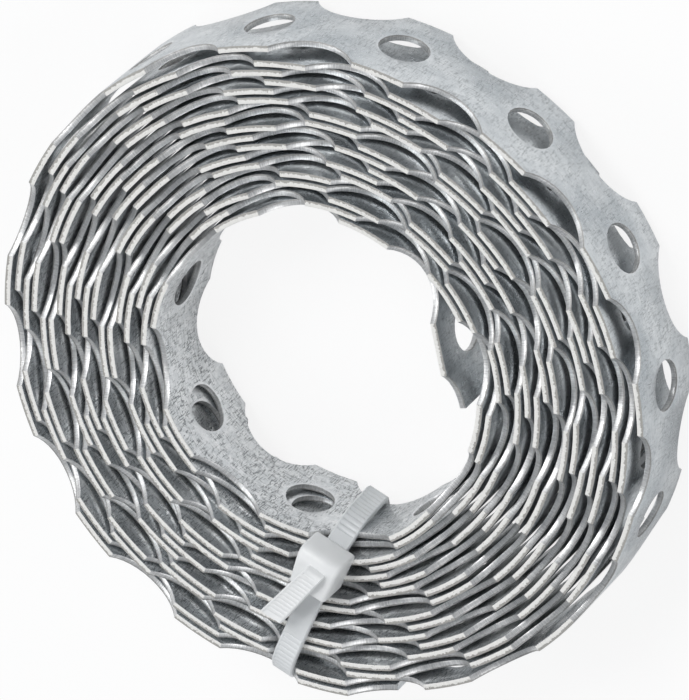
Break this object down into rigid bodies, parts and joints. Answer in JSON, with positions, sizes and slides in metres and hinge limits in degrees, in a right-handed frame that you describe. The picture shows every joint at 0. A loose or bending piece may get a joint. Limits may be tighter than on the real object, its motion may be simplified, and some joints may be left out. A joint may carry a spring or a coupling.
{
  "type": "perforated metal strap",
  "caption": "Coil of galvanised steel fixing strap with round holes and wavy edges, held together by a nylon cable tie.",
  "frame": {"origin": "on the level of the tie's lowest run, at the middle of the coil's outline", "axes": "+Z along the coil's axis, away from the floor; the tie is at the front right, the outer end just before it; seen from above the strap runs anticlockwise from the inside out"},
  "size_m": [0.072, 0.0726, 0.0173],
  "materials": {
    "galvanised_steel": "hot-dip galvanised, sheared edges bright",
    "nylon": "translucent natural nylon"
  },
  "bodies": {
    "root": {"strap": "galvanised_steel", "cable_tie": "nylon"}
  },
  "joints": []
}
